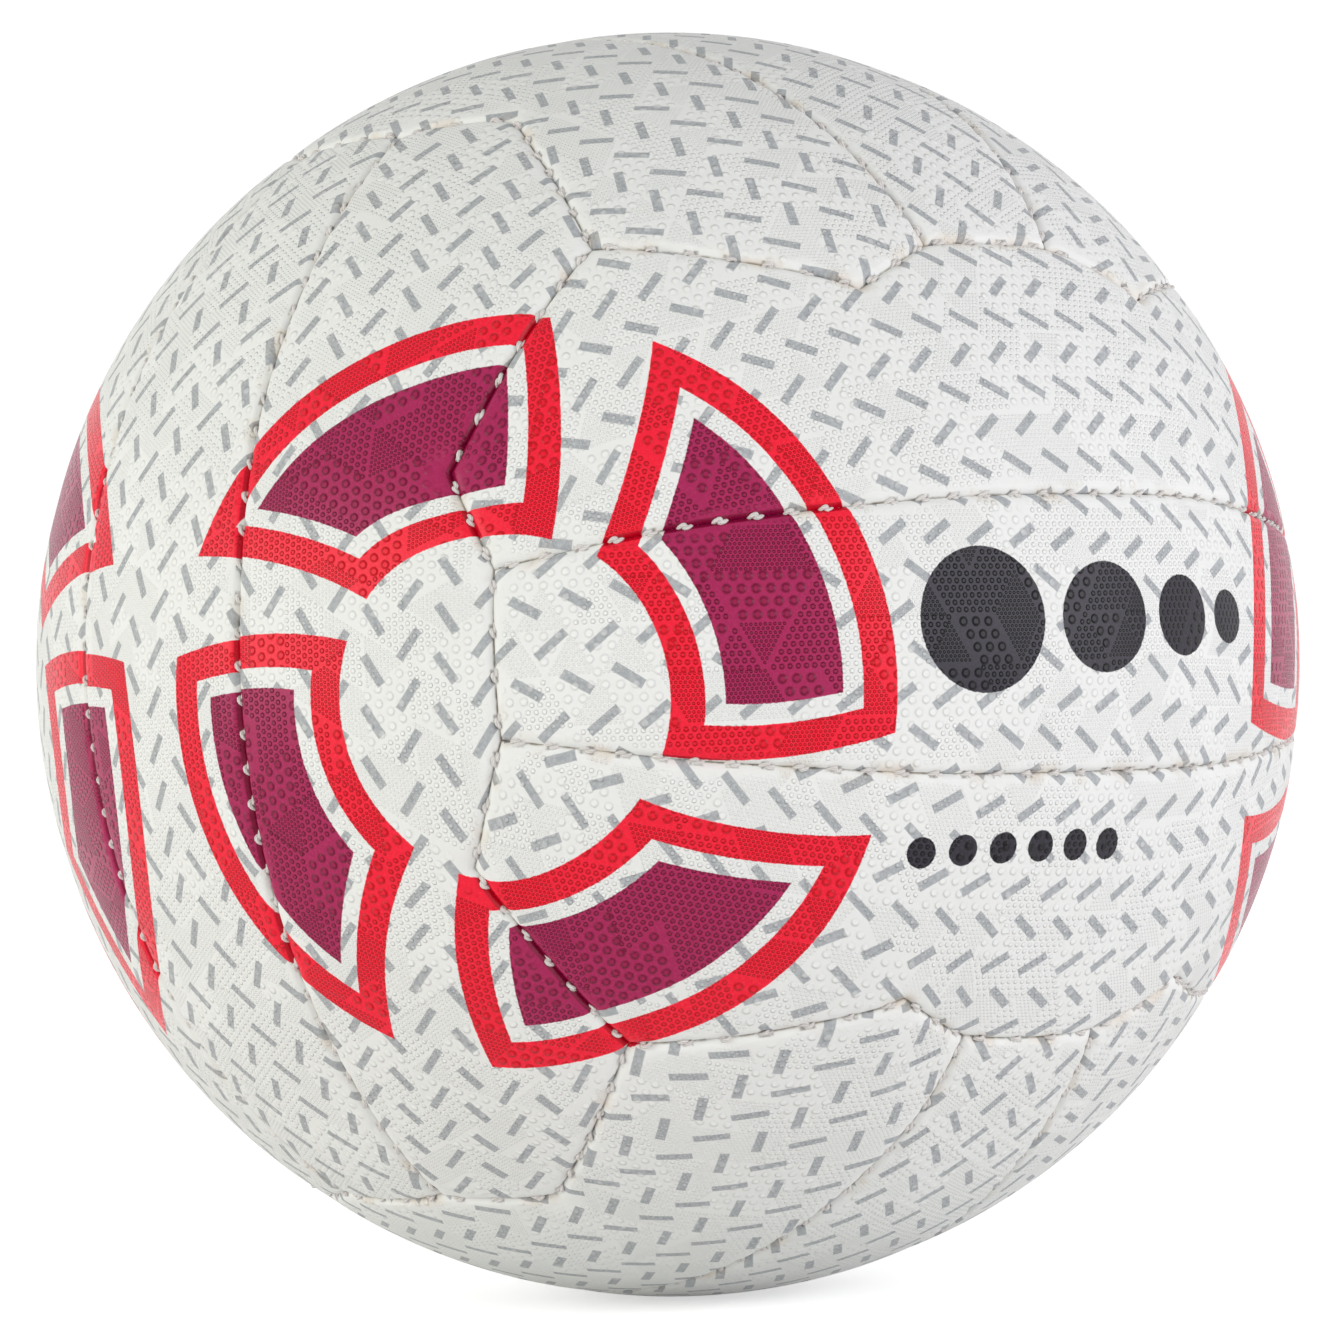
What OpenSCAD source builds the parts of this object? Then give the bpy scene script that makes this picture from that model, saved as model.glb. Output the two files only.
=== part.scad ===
// Netball, size 5: eighteen hand-stitched panels over a fabric lining, with
// a rubber bladder and its needle valve inside. Every panel is cut by flat
// planes through the centre of the ball, has its edge folded in along the
// seam, and holds its own piece of lining.
// The origin is the centre of the ball, and +Z points out of the valve.

/* [Ball] */
// Outside diameter of the ball when it is pumped up
ball_dia = 222; // [190:1:240]

/* [Panel pattern] */
// Angle from a face's middle line to the corner of its middle panel
middle_corner_height = 7; // [6:0.2:9]
// Angle by which a middle panel's end reaches past the edge of its face
middle_corner_reach = 8.8; // [7:0.2:10]
// Angle from a face's middle line to the point at the end of a side panel
point_height = 16.4; // [15:0.2:19]
// Angle by which that point reaches past the edge of its face
point_reach = 12.9; // [11.6:0.2:14]

/* [Panels] */
// Thickness of the grip cover
cover_t = 1.1; // [0.9:0.1:1.5]
// Thickness of the laminated fabric lining
lining_t = 0.9; // [0.6:0.1:1.4]
// Depth that the folded edges of cover and lining reach below the surface
fold_depth = 4.6; // [4.4:0.1:7]
// Clearance between two pieces that lie against each other
lay_gap = 0.05; // [0.02:0.01:0.1]

/* [Seams] */
// Width of the valley along a seam, measured at the surface
valley_w = 3.2; // [2.6:0.1:4]
// Depth of the valley along a seam
valley_depth = 1.2; // [0.9:0.1:1.6]
// Width of the dimple where three seams meet
dimple_w = 4.4; // [4.1:0.1:6]
// Depth of that dimple
dimple_depth = 1.9; // [1.7:0.1:2.4]

/* [Thread] */
// Thickness of the thread where a stitch shows
stitch_dia = 1; // [0.7:0.1:1.1]
// Length of thread that shows at each stitch
stitch_len = 2.3; // [1.5:0.1:3]
// Distance from one stitch to the next
stitch_pitch = 5.5; // [4.5:0.1:7]
// Thickness of the thread between the stitches
thread_dia = 0.6; // [0.4:0.05:0.65]
// Depth of the middle of the thread below the surface
thread_depth = 1.3; // [1.2:0.05:1.5]
// Length along a seam, from its end to the thread
thread_end_gap = 2.6; // [2.2:0.1:4]

/* [Bladder] */
// Thickness of the bladder's wall
bladder_t = 0.8; // [0.6:0.1:1.5]

/* [Valve] */
// Outside diameter of the valve's neck, in the hole of the cover
neck_dia = 8; // [7:0.1:10]
// Depth of the neck's rim below the surface of the ball
neck_recess = 0.6; // [0.3:0.1:0.9]
// Diameter of the valve's flange on the bladder
flange_dia = 28; // [22:0.5:30]
// Thickness of the valve's flange
flange_t = 1; // [0.6:0.1:1.1]
// Diameter of the fabric patch over the flange
patch_dia = 34; // [31:0.5:36]
// Thickness of the fabric patch
patch_t = 0.8; // [0.5:0.1:0.9]
// Diameter of the valve's sleeve inside the bladder
sleeve_dia = 10; // [9:0.1:12]
// Length of the insert's shaft below its head
insert_len = 21; // [17:0.5:26]
// Diameter of the insert's shaft
insert_dia = 4.6; // [4.2:0.1:5]
// Diameter of the insert's head
head_dia = 6.2; // [5.6:0.1:6.4]
// Thickness of the insert's head
head_t = 1.2; // [0.9:0.1:1.6]
// Diameter of the passage for the needle of a pump
needle_dia = 2.1; // [1.8:0.1:2.6]
// Length of that passage
needle_len = 15; // [12:0.5:16]
// Clearance round the insert's shaft and head
insert_gap = 0.05; // [0.02:0.01:0.1]
// Thickness of the sleeve's closed end
sleeve_end_t = 2; // [1:0.1:3]

/* [Hidden] */
$fn = 96;
ball_r = ball_dia / 2;
bladder_r = ball_r - fold_depth - lay_gap;
cut = 1; // how far a cutting shape runs past what it cuts
third_turn = 120; // from one face to the next, about the cube's diagonal
front_left_turn = -135; // from +X round to the middle of the front and left faces' edge
radian = 180 / PI;
cap_out_share = 1.1; // height of a seam block's outer cap, as a share of the ball's radius
cap_in_share = 0.35; // height of its inner cap, as a share of the ball's radius
valley_half_w = valley_w / 2;
channel_r = stitch_dia / 2 + lay_gap;
neck_top = ball_r - neck_recess;
head_floor = neck_top - head_t;
sleeve_floor = head_floor - insert_len - insert_gap;

// Directions of the seam ends on the edge between the front and left faces
corner_height = atan(sqrt(1 / 2)); // a cube's corner, seen from the edge's middle
corner = edge_dir(0, corner_height);
point = edge_dir(point_reach, point_height);
middle_corner = edge_dir(middle_corner_reach, middle_corner_height);

// Outlines of the front face's upper and middle panels, seen from outside
side_outline = [
    middle_corner, across(middle_corner), across(point), across(corner),
    across(on_top(point)), across(on_top(middle_corner)),
    on_top(middle_corner), on_top(point), corner, point
];
middle_outline = [
    below(middle_corner), across(below(middle_corner)),
    across(middle_corner), middle_corner
];
// Seams along the front and left faces' common edge, and inside the front face
edge_seams = [
    [corner, point], [point, middle_corner], [middle_corner, below(middle_corner)],
    [below(middle_corner), below(point)], [below(point), below(corner)]
];
inner_seams = [
    [middle_corner, across(middle_corner)],
    [below(middle_corner), across(below(middle_corner))]
];

// Each place is a name, a number of third turns about the cube's diagonal,
// which carry front to bottom to left, and then a half turn
straight = [0, 0, 0];
about_x = [180, 0, 0];
about_y = [0, 180, 0];
about_z = [0, 0, 180];
SIDE_PANELS = [
    ["front_upper", 0, straight], ["front_lower", 0, about_y],
    ["back_upper", 0, about_z], ["back_lower", 0, about_x],
    ["bottom_right", 1, straight], ["bottom_left", 1, about_z],
    ["top_right", 1, about_x], ["top_left", 1, about_y],
    ["left_back", 2, straight], ["left_front", 2, about_x],
    ["right_front", 2, about_z], ["right_back", 2, about_y]
];
MIDDLE_PANELS = [
    ["front_middle", 0, straight], ["back_middle", 0, about_z],
    ["bottom_middle", 1, straight], ["top_middle", 1, about_y],
    ["left_middle", 2, straight], ["right_middle", 2, about_z]
];
EDGE_SEAMS = [
    ["front_left", 0, straight], ["front_right", 0, about_y],
    ["back_right", 0, about_z], ["back_left", 0, about_x],
    ["bottom_front", 1, straight], ["bottom_back", 1, about_z],
    ["top_back", 1, about_x], ["top_front", 1, about_y],
    ["left_bottom", 2, straight], ["left_top", 2, about_x],
    ["right_bottom", 2, about_z], ["right_top", 2, about_y]
];
INNER_SEAMS = [
    ["front_inner", 0, straight], ["back_inner", 0, about_z],
    ["bottom_inner", 1, straight], ["top_inner", 1, about_y],
    ["left_inner", 2, straight], ["right_inner", 2, about_z]
];
VALVE_PANEL = "top_middle";

function unit(v) = v / norm(v);
function arc_angle(a, b) = acos(a * b);
function turn_for(length, r) = length / r * radian;
// Direction past the front face's left edge by reach, and up by height
function edge_dir(reach, height) =
    let (turn = front_left_turn - reach)
    [cos(height) * cos(turn), cos(height) * sin(turn), sin(height)];
function across(v) = [-v[0], v[1], v[2]];
function below(v) = [v[0], v[1], -v[2]];
// The same seam end on the left half of the front face's top edge
function on_top(v) = [-v[2], v[0], -v[1]];

module place(spot) {
    rotate(spot[2]) rotate(spot[1] * third_turn, [1, 1, 1]) children();
}

// Turns +X to a and +Z to the side that lies left of the way from a to b
module on_seam(a, b) {
    n = unit(cross(a, b));
    t = cross(n, a);
    multmatrix([
        [a[0], t[0], n[0], 0],
        [a[1], t[1], n[1], 0],
        [a[2], t[2], n[2], 0],
        [0, 0, 0, 1]
    ]) children();
}

// Turns +Z to the direction v
module along(v) {
    rotate([0, acos(v[2]), atan2(v[1], v[0])]) children();
}

// The wedge of space inside an outline, with each wall moved in by inset
module seam_block(outline, inset) {
    n = len(outline);
    walls = [for (i = [0:n - 1]) unit(cross(outline[i], outline[(i + 1) % n]))];
    roots = [for (i = [0:n - 1])
        let (a = walls[(i + n - 1) % n], b = walls[i])
        (a + b) * inset / (1 + a * b)];
    axis = unit([for (k = [0:2]) let (c = [for (v = outline) v[k]]) c * [for (v = outline) 1]]);
    function at_height(i, h) =
        roots[i] + outline[i] * (h - roots[i] * axis) / (outline[i] * axis);
    points = concat(
        [for (i = [0:n - 1]) at_height(i, ball_r * cap_in_share)],
        [for (i = [0:n - 1]) at_height(i, ball_r * cap_out_share)]
    );
    polyhedron(points, concat(
        [[for (i = [0:n - 1]) i]],
        [[for (i = [n - 1:-1:0]) i + n]],
        [for (i = [0:n - 1]) [i, i + n, (i + 1) % n + n, (i + 1) % n]]
    ));
}

// The valley along one seam, with a round channel for the thread at its foot
module valley(a, b) {
    reach = valley_half_w * (valley_depth + cut) / valley_depth;
    on_seam(a, b) rotate_extrude(angle = arc_angle(a, b)) {
        polygon([
            [ball_r - valley_depth, 0],
            [ball_r + cut, -reach],
            [ball_r + cut, reach]
        ]);
        translate([ball_r - thread_depth, 0]) circle(channel_r);
    }
}

module dimple(v) {
    along(v) translate([0, 0, ball_r - dimple_depth])
        cylinder(h = dimple_depth + cut, r1 = 0,
            r2 = dimple_w / 2 * (dimple_depth + cut) / dimple_depth);
}

// A layer of one panel: from radius r in, inset from the seam, with its
// edge folded in; t is the thickness of the layer
module folded_layer(outline, r, inset, t) {
    difference() {
        intersection() {
            sphere(r);
            seam_block(outline, inset);
        }
        intersection() {
            sphere(r - t);
            seam_block(outline, inset + t);
        }
        sphere(ball_r - fold_depth);
    }
}

module panel_cover(outline) {
    n = len(outline);
    difference() {
        folded_layer(outline, ball_r, lay_gap, cover_t);
        for (i = [0:n - 1]) {
            valley(outline[i], outline[(i + 1) % n]);
            dimple(outline[i]);
        }
    }
}

module panel_lining(outline) {
    folded_layer(outline, ball_r - cover_t - lay_gap, cover_t + 2 * lay_gap, lining_t);
}

// The hole of the valve's neck, straight down through cover and lining
module neck_hole() {
    translate([0, 0, ball_r * cap_in_share])
        cylinder(h = ball_r, r = neck_dia / 2 + lay_gap);
}

module cover(spot, outline) {
    color("whitesmoke") difference() {
        place(spot) panel_cover(outline);
        if (spot[0] == VALVE_PANEL) neck_hole();
    }
}

module lining(spot, outline) {
    color("burlywood") difference() {
        place(spot) panel_lining(outline);
        if (spot[0] == VALVE_PANEL) neck_hole();
    }
}

// The thread of one seam, thicker at each stitch that shows
module seam_thread(a, b) {
    r = ball_r - thread_depth;
    end_turn = turn_for(thread_end_gap, r);
    thread_turn = arc_angle(a, b) - 2 * end_turn;
    first_turn = turn_for(stitch_len / 2 + lay_gap, r);
    stitches_turn = thread_turn - 2 * first_turn;
    pitches = max(1, floor(stitches_turn / turn_for(stitch_pitch, r)));
    on_seam(a, b) rotate([0, 0, end_turn]) {
        rotate_extrude(angle = thread_turn) translate([r, 0]) circle(thread_dia / 2);
        for (i = [0:pitches])
            rotate([0, 0, first_turn + stitches_turn * i / pitches])
                translate([r, 0, 0]) rotate([90, 0, 0])
                    cylinder(h = stitch_len, d = stitch_dia, center = true);
    }
}

module thread(spot, seams) {
    color("lightgrey") place(spot) for (s = seams) seam_thread(s[0], s[1]);
}

module bladder() {
    color("dimgray") difference() {
        sphere(bladder_r);
        sphere(bladder_r - bladder_t);
        translate([0, 0, ball_r * cap_in_share])
            cylinder(h = ball_r, r = sleeve_dia / 2 + lay_gap);
    }
}

// Cap of a hollow ball, from radius r out to r + t, as wide as dia
module round_cap(r, t, dia) {
    intersection() {
        difference() {
            sphere(r + t);
            sphere(r);
        }
        translate([0, 0, ball_r * cap_in_share]) cylinder(h = ball_r, d = dia);
    }
}

module valve_body() {
    flange_r = bladder_r + lay_gap;
    color("darkslategray") difference() {
        union() {
            round_cap(flange_r, flange_t, flange_dia);
            translate([0, 0, sleeve_floor - sleeve_end_t])
                cylinder(h = flange_r + flange_t / 2 - sleeve_floor + sleeve_end_t, d = sleeve_dia);
            translate([0, 0, sleeve_floor])
                cylinder(h = neck_top - sleeve_floor, d = neck_dia);
        }
        translate([0, 0, sleeve_floor])
            cylinder(h = ball_r, r = insert_dia / 2 + insert_gap);
        translate([0, 0, head_floor])
            cylinder(h = ball_r, r = head_dia / 2 + insert_gap);
    }
}

module valve_insert() {
    color("gray") difference() {
        union() {
            translate([0, 0, sleeve_floor + insert_gap]) cylinder(h = insert_len, d = insert_dia);
            translate([0, 0, head_floor]) cylinder(h = head_t, d = head_dia);
        }
        translate([0, 0, neck_top - needle_len]) cylinder(h = needle_len + cut, d = needle_dia);
    }
}

module valve_patch() {
    color("tan") difference() {
        round_cap(bladder_r + flange_t + 2 * lay_gap, patch_t, patch_dia);
        translate([0, 0, ball_r * cap_in_share]) cylinder(h = ball_r, r = neck_dia / 2 + lay_gap);
    }
}

for (p = SIDE_PANELS) {
    cover(p, side_outline);
    lining(p, side_outline);
}
for (p = MIDDLE_PANELS) {
    cover(p, middle_outline);
    lining(p, middle_outline);
}
for (s = EDGE_SEAMS)
    thread(s, edge_seams);
for (s = INNER_SEAMS)
    thread(s, inner_seams);
bladder();
valve_body();
valve_insert();
valve_patch();
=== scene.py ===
import math

import bpy
import numpy as np
from mathutils import Matrix, Vector


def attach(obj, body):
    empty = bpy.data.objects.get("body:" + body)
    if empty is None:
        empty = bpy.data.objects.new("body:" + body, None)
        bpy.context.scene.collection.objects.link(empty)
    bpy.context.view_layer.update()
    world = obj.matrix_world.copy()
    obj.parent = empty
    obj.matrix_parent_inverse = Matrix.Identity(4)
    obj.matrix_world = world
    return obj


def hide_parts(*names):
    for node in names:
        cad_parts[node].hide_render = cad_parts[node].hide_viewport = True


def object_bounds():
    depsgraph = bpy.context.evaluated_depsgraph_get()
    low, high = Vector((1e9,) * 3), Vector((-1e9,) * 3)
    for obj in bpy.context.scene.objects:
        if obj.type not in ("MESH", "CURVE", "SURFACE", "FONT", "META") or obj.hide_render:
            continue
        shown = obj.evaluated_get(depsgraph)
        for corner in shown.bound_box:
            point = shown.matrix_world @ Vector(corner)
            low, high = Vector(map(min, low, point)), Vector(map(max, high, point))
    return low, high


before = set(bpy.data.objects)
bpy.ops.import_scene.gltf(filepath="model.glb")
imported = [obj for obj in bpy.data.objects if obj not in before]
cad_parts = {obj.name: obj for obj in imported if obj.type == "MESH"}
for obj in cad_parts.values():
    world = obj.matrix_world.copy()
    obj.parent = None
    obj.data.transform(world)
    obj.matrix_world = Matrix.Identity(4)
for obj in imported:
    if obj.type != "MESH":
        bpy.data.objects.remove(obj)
cadLow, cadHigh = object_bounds()
mm = 0.001
ballRadius = (cadHigh.x - cadLow.x) / 2
ballMm = ballRadius / mm
print(f"frame loaded: ball {ballMm * 2:.1f} mm across, {len(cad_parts)} CAD nodes")

# The camera stands level with the middle of the ball and looks at it through a long lens
cameraSet = dict(
    turn=39.83,        # degrees from the front face towards the left one
    tilt=-1.62,        # degrees that it looks up by
    roll=-2.35,        # degrees that the picture is turned by
    distance=7.51,     # in ball radii, from the ball's middle
    focalPixels=4705,  # focal length in pixels of the picture
    picturePixels=1330,
    middleX=667.9,     # pixel where the ball's middle is seen
    middleY=664.5,
    sensor=36.0,
    nearest=0.05,
    furthest=30,
)


def turnAbout(axis, degrees):
    return np.array(Matrix.Rotation(math.radians(degrees), 3, axis))


def makeCamera(c):
    look = turnAbout("Y", c["roll"]) @ turnAbout("X", c["tilt"]) @ turnAbout("Z", c["turn"])
    right, ahead, up = look
    data = bpy.data.cameras.new("photoCamera")
    data.sensor_width = c["sensor"]
    data.lens = c["focalPixels"] / c["picturePixels"] * c["sensor"]
    data.shift_x = (c["picturePixels"] / 2 - c["middleX"]) / c["picturePixels"]
    data.shift_y = (c["middleY"] - c["picturePixels"] / 2) / c["picturePixels"]
    data.clip_start, data.clip_end = c["nearest"], c["furthest"]
    camera = bpy.data.objects.new("photoCamera", data)
    bpy.context.scene.collection.objects.link(camera)
    place = np.eye(4)
    place[:3, 0], place[:3, 1], place[:3, 2] = right, up, -ahead
    place[:3, 3] = -ahead * c["distance"] * ballRadius
    camera.matrix_world = Matrix(place.tolist())
    bpy.context.scene.camera = camera


makeCamera(cameraSet)

# Where the seams run: angles on the ball, in degrees
seamSet = dict(
    cornerHeight=7.0,  # from a face's middle line to the corner of its middle panel
    cornerReach=8.8,   # how far a middle panel's end reaches past the edge of its face
    pointHeight=16.4,  # from a face's middle line to the point at the end of a side panel
    pointReach=12.9,   # how far that point reaches past the edge
    sideMiddle=22.8,   # height of a side panel's own middle line
)


def unit(v):
    return v / np.linalg.norm(v, axis=-1, keepdims=True)


def direction(turn, rise):
    # a direction from its degrees to the left of the front face's middle and above it
    turn, rise = math.radians(-90 - turn), math.radians(rise)
    return np.array([math.cos(rise) * math.cos(turn), math.cos(rise) * math.sin(turn), math.sin(rise)])


def across(v):
    return v * [-1, 1, 1]


def below(v):
    return v * [1, 1, -1]


def onTop(v):
    # the same seam end on the left half of the front face's top edge
    return np.array([-v[2], v[0], -v[1]])


cubeCorner = unit(np.array([-1.0, -1.0, 1.0]))
endPoint = direction(45 + seamSet["pointReach"], seamSet["pointHeight"])
middleCorner = direction(45 + seamSet["cornerReach"], seamSet["cornerHeight"])

# Each outline is its four sides: bottom and top from left to right, left and right from the bottom up
leftEnd = [middleCorner, endPoint, cubeCorner]
topLeft = [cubeCorner, onTop(endPoint), onTop(middleCorner)]
outlines = dict(
    side=dict(
        bottom=[middleCorner, across(middleCorner)],
        top=topLeft + [across(v) for v in reversed(topLeft)],
        left=leftEnd,
        right=[across(v) for v in leftEnd],
    ),
    middle=dict(
        bottom=[below(middleCorner), across(below(middleCorner))],
        top=[middleCorner, across(middleCorner)],
        left=[below(middleCorner), middleCorner],
        right=[across(below(middleCorner)), across(middleCorner)],
    ),
)
edgeSeam = [cubeCorner, endPoint, middleCorner, below(middleCorner), below(endPoint), below(cubeCorner)]
edgeSeams = list(zip(edgeSeam[:-1], edgeSeam[1:]))
innerSeams = [(middleCorner, across(middleCorner)), (below(middleCorner), across(below(middleCorner)))]

# A place is a number of third turns about the cube's diagonal, then a half turn
halfTurns = dict(straight=np.eye(3), **{"about" + axis: turnAbout(axis, 180) for axis in "XYZ"})
thirdTurn = np.array([[0.0, 0, 1], [1, 0, 0], [0, 1, 0]])
sidePlaces = [
    ("front_upper", 0, "straight"), ("front_lower", 0, "aboutY"), ("back_upper", 0, "aboutZ"),
    ("back_lower", 0, "aboutX"), ("bottom_right", 1, "straight"), ("bottom_left", 1, "aboutZ"),
    ("top_right", 1, "aboutX"), ("top_left", 1, "aboutY"), ("left_back", 2, "straight"),
    ("left_front", 2, "aboutX"), ("right_front", 2, "aboutZ"), ("right_back", 2, "aboutY"),
]
middlePlaces = [
    ("front_middle", 0, "straight"), ("back_middle", 0, "aboutZ"), ("bottom_middle", 1, "straight"),
    ("top_middle", 1, "aboutY"), ("left_middle", 2, "straight"), ("right_middle", 2, "aboutZ"),
]
edgePlaces = [
    ("front_left", 0, "straight"), ("front_right", 0, "aboutY"), ("back_right", 0, "aboutZ"),
    ("back_left", 0, "aboutX"), ("bottom_front", 1, "straight"), ("bottom_back", 1, "aboutZ"),
    ("top_back", 1, "aboutX"), ("top_front", 1, "aboutY"), ("left_bottom", 2, "straight"),
    ("left_top", 2, "aboutX"), ("right_bottom", 2, "aboutZ"), ("right_top", 2, "aboutY"),
]
innerPlaces = [
    ("front_inner", 0, "straight"), ("back_inner", 0, "aboutZ"), ("bottom_inner", 1, "straight"),
    ("top_inner", 1, "aboutY"), ("left_inner", 2, "straight"), ("right_inner", 2, "aboutZ"),
]
valvePanel = "top_middle"


def turned(v, thirds, half):
    return v @ (halfTurns[half] @ np.linalg.matrix_power(thirdTurn, thirds)).T


print(f"pattern laid out: {len(sidePlaces) + len(middlePlaces)} panels")

# Hand sewing pulls the seams off the even pattern
handSewing = dict(
    pulls=[
        # degrees left of the front face's middle and above it, mm to the right and up, reach in degrees
        (57.9, 16.4, 0.0, -2.9, 5.0),     # points on the front left edge
        (57.9, -16.4, 0.8, -2.7, 5.0),
        (45.0, 35.3, -1.5, 0.4, 5.0),     # the two ends of that edge
        (45.0, -35.3, -0.5, 1.5, 5.0),
        (0.0, 35.9, -3.6, -0.7, 9.0),     # short seam at the front's top
        (19.2, -30.6, 2.4, -1.2, 5.0),    # points and one junction at the front's bottom
        (-19.2, -30.6, 3.6, -1.0, 6.0),
        (8.7, -35.9, -1.6, 1.0, 4.0),
        (-45.0, 35.3, 0.0, -2.0, 7.0),    # ends of the front right edge
        (-45.0, -35.3, 0.0, 2.8, 7.0),
        (61.0, 54.4, 1.6, -0.7, 5.0),     # points at the left face's top and bottom
        (61.0, -54.4, 2.4, 2.8, 6.0),
        (101.0, -4.0, 2.2, 0.0, 14.0),    # the left face's rear seam
    ],
    waver=0.22,                           # mm that every seam wanders by
    waves=[(9, 13, -7), (-12, 8, 11), (15, -6, 10)],
    starts=(0.4, 2.1, 4.0),
)


def sewn(v):
    # every direction is moved by three slow sine waves and by the pulls, each fading as a bell curve
    wave = np.sin(v @ np.array(handSewing["waves"], float).T + handSewing["starts"])
    moved = v + np.cross(v, wave) * handSewing["waver"] * mm / ballRadius
    for turn, rise, rightwards, upwards, reach in handSewing["pulls"]:
        at = direction(turn, rise)
        right = unit(np.cross([0, 0, 1.0], at))
        fade = np.exp(-0.5 * ((v - at) ** 2).sum(-1) / math.radians(reach) ** 2)
        pull = (rightwards * right + upwards * np.cross(at, right)) * mm / ballRadius
        moved = moved + fade[..., None] * pull
    return unit(moved)


stitchSet = dict(
    pitch=5.5 * mm,
    shown=1.5 * mm,     # from the top of a stitch to where its thread has dived
    endGap=2.2 * mm,    # from the end of a seam to its thread
    strand=0.37 * mm,   # radius of one of the two strands
    apart=0.31 * mm,    # from the thread's middle to a strand's
    sunk=2.0 * mm,      # depth of the thread between stitches
    risen=0.5 * mm,     # depth at the top of a stitch
    tighter=0.5 * mm,   # how much deeper the tightest stitches lie
    waves=(9 * mm, 4 * mm),
    waveStarts=(2, 5),  # what shifts those waves from seam to seam
    twist=2.8 * mm,     # length of one turn of the strands
    step=0.25 * mm,     # between two rings of a strand
    leastSteps=4,
    sides=8,            # of a ring
)
coverSet = dict(
    thickness=1.1 * mm,
    fromSeam=0.02 * mm,       # half of the gap between two panels
    shoulder=1.3 * mm,        # width of the rounded edge between two stitches
    pulledShoulder=0.8 * mm,  # what each stitch adds to it
    edgeDrop=0.95 * mm,       # depth of the rounded edge where two panels meet
    cornerDrop=0.5 * mm,      # what is added where three seams meet
    cornerReach=2.4 * mm,
    crown=0.22 * mm,          # how far a panel falls towards its seams
    crownReach=5.5 * mm,
    cell=0.9 * mm,            # grid step along a panel
    rowCell=1.3 * mm,         # grid step across it
    edgeRows=[0, 0.03, 0.12, 0.28, 0.5, 0.78, 1.1, 1.5, 2.0, 2.7, 3.6],  # mm from the seam
)
liningSet = dict(
    thickness=0.9 * mm,
    depth=1.15 * mm,         # of its outer face below the ball's surface
    fromSeam=1.2 * mm,
    cell=2.6 * mm,
    rowCell=2.6 * mm,
    edgeRows=[0, 1.3, 2.6],
)
foldRows = [2.7 * mm, 4.6 * mm]  # depths of the rings of a folded edge, the last one its end
valveSet = dict(
    hole=4.05 * mm,    # radius of the hole in cover and lining
    bevel=0.35 * mm,   # rounding of the hole's rim
    dip=0.25 * mm,     # how far the cover dips towards the valve
    dipReach=2.5 * mm,
    rings=[7.6, 6.2, 5.3, 4.75, 4.45, 4.25, 4.12, 4.05],  # mm from the valve's axis
    clear=1.12,        # room for the widest ring inside the block of cells that it replaces
)


def arcAngle(a, b):
    return math.acos(np.clip(a @ b, -1, 1))


def alongArc(a, b, share):
    # points on the great circle from a to b: a weighted sum of both, weights sines of the part angles
    whole = arcAngle(a, b)
    share = np.asarray(share)[:, None]
    return (np.sin((1 - share) * whole) * a + np.sin(share * whole) * b) / math.sin(whole)


def fromStitch(along, length):
    # distance along a seam to the middle of the nearest stitch; the stitches are evenly spread, about one
    # pitch apart
    first = stitchSet["endGap"] + stitchSet["shown"] / 2
    count = max(1, math.floor((length - 2 * first) / stitchSet["pitch"]))
    stitches = first + (length - 2 * first) * np.arange(count + 1) / count
    return np.abs(along[..., None] - stitches).min(-1)


def stitchRise(away):
    # 1 at the middle of a stitch and 0 from where its thread has dived, with a cosine's slope between
    return 0.5 + 0.5 * np.cos(np.pi * np.clip(away / stitchSet["shown"], 0, 1))


def cornersOf(outline):
    return outline["bottom"] + outline["right"][1:] + outline["top"][-2::-1] + outline["left"][-2:0:-1]


def inset(outline, by):
    # every corner moves inwards so that both seams that meet there move by the same distance
    corners = cornersOf(outline)
    walls = [unit(np.cross(a, b)) for a, b in zip(corners, corners[1:] + corners[:1])]
    moved = []
    for i, corner in enumerate(corners):
        a, b = walls[i - 1], walls[i]
        moved.append(unit(corner + (a + b) * (by / ballRadius) / (1 + a @ b)))

    def find(v):
        return moved[int(np.argmin([np.abs(v - c).sum() for c in corners]))]

    return {side: [find(v) for v in points] for side, points in outline.items()}


def sidePoints(corners, shares):
    # a side's points at the given shares of its length, corners included as they fall
    angles = [arcAngle(a, b) for a, b in zip(corners, corners[1:])]
    ends = np.concatenate([[0], np.cumsum(angles)]) / sum(angles)
    near = 1e-9
    points = np.empty((len(shares), 3))
    for k, (a, b) in enumerate(zip(corners, corners[1:])):
        part = (shares >= ends[k] - near) & (shares <= ends[k + 1] + near)
        points[part] = alongArc(a, b, (shares[part] - ends[k]) / (ends[k + 1] - ends[k]))
    return points


def gridShares(corners, edgeRows, cell):
    # shares along a side: close together near both ends, even between, and one on each corner
    angles = [arcAngle(a, b) for a, b in zip(corners, corners[1:])]
    length = sum(angles) * ballRadius
    ends = np.concatenate([[0], np.cumsum(angles)]) / sum(angles)
    edge = np.array(edgeRows) * mm / length
    stops = np.unique(np.concatenate([[edge[-1]], ends[1:-1], [1 - edge[-1]]]))
    parts = [edge[:-1]]
    for a, b in zip(stops, stops[1:]):
        parts.append(np.linspace(a, b, max(1, round((b - a) * length / cell)) + 1)[:-1])
    return np.concatenate([*parts, (1 - edge)[::-1]])


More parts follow.
